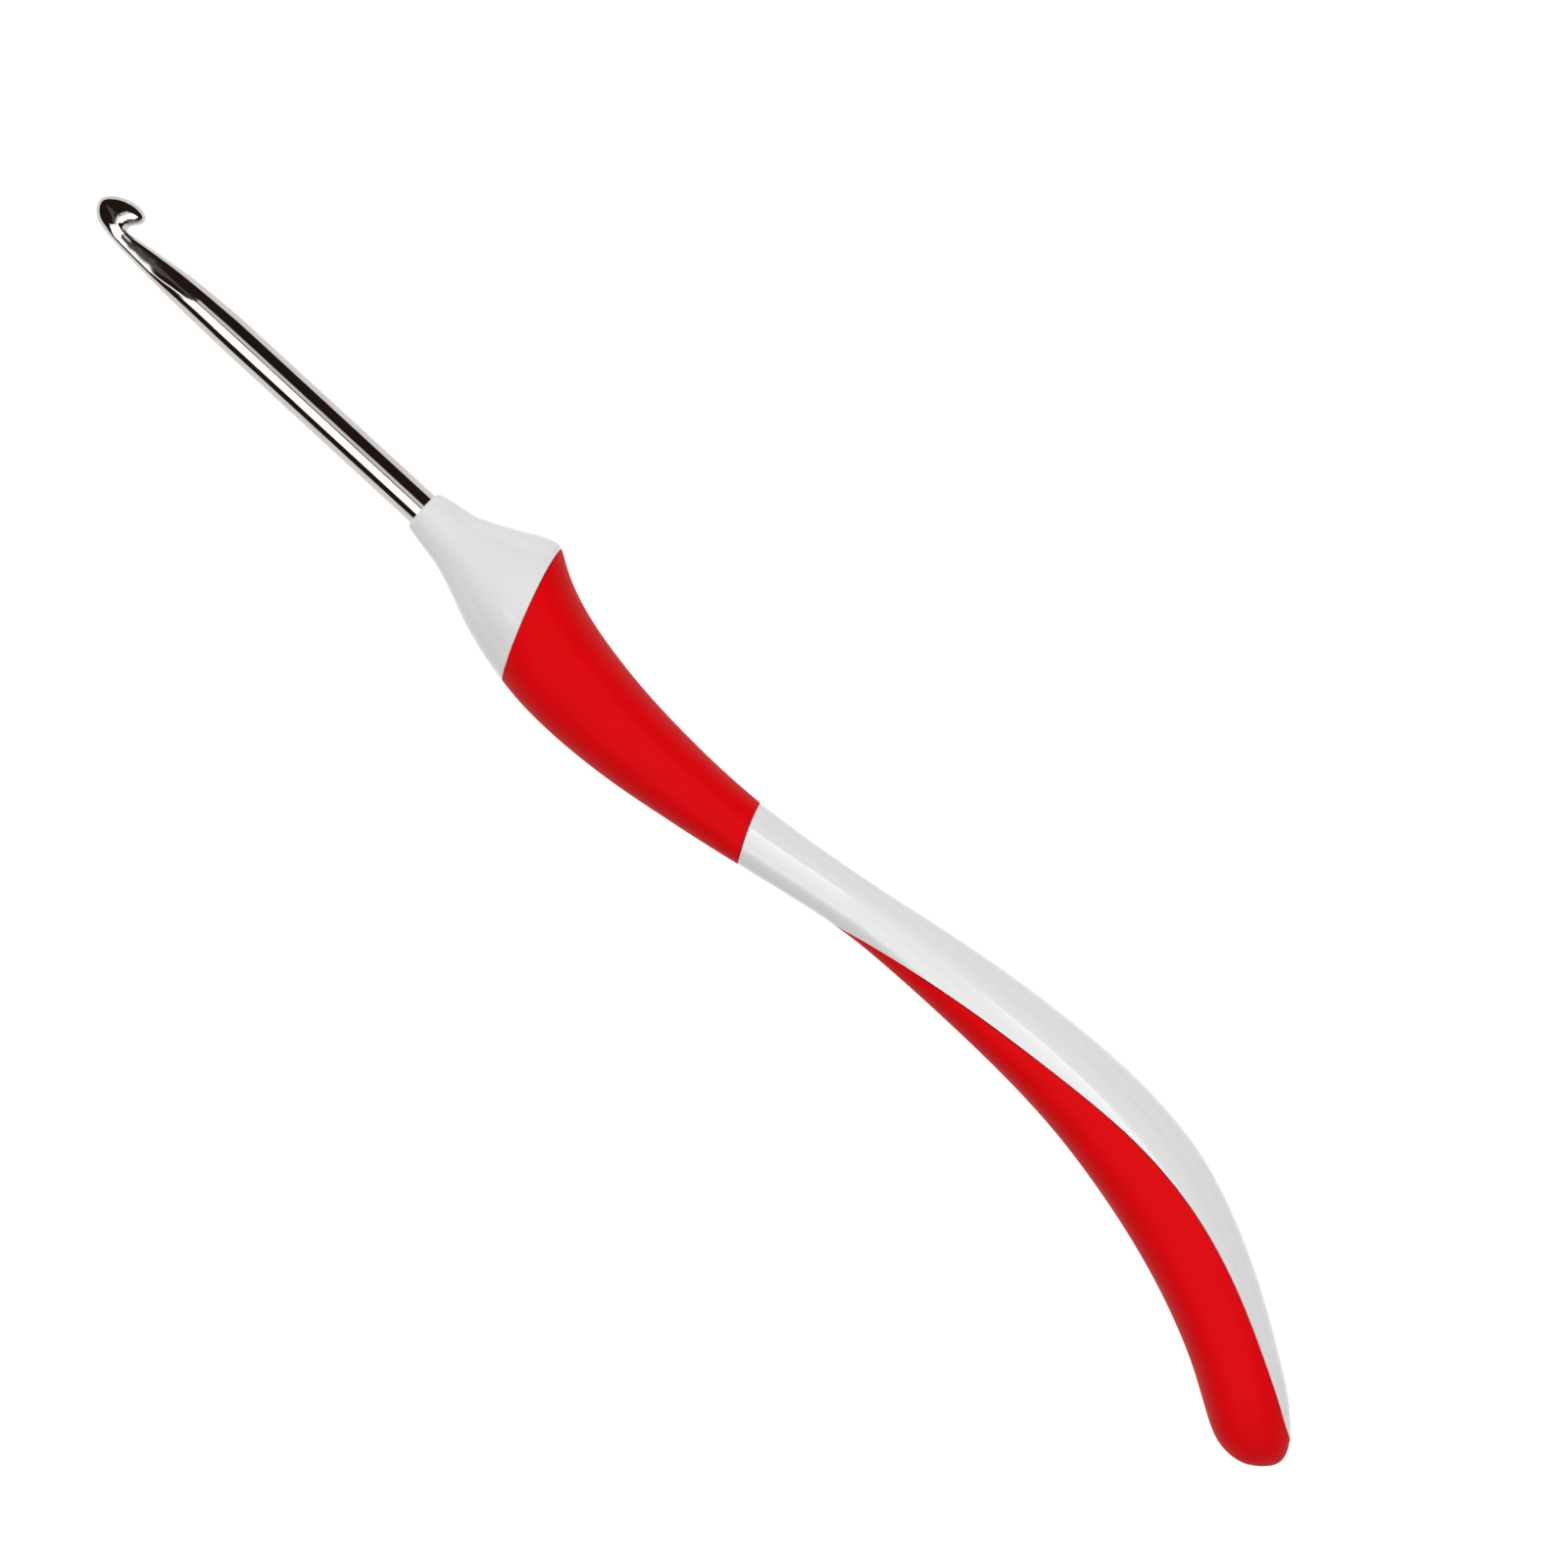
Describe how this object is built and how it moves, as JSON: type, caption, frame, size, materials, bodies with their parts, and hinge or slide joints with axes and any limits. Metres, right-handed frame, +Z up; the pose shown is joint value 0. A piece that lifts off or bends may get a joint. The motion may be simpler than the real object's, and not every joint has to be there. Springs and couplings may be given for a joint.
{
  "type": "crochet hook",
  "caption": "Crochet hook: a plated metal hook with a rounded head and small throat, set in a curved white handle with two soft red grips.",
  "frame": {"origin": "middle of the base of the box round the hook as it lies on its side", "axes": "+X along the shank from the tip of the hook to the end of the handle, +Y to the side that the throat and the thumb rest face, +Z up, across the handle"},
  "size_m": [0.165, 0.0208, 0.013],
  "materials": {
    "plated_metal": "polished nickel plate with fine drawn lines",
    "white_plastic": "glossy moulded ABS",
    "front_soft_red": "satin soft-touch elastomer",
    "rear_soft_red": "satin soft-touch elastomer"
  },
  "bodies": {
    "root": {"hook": "plated_metal", "handle_core": "white_plastic", "front_grip": "front_soft_red", "rear_grip": "rear_soft_red"}
  },
  "joints": []
}
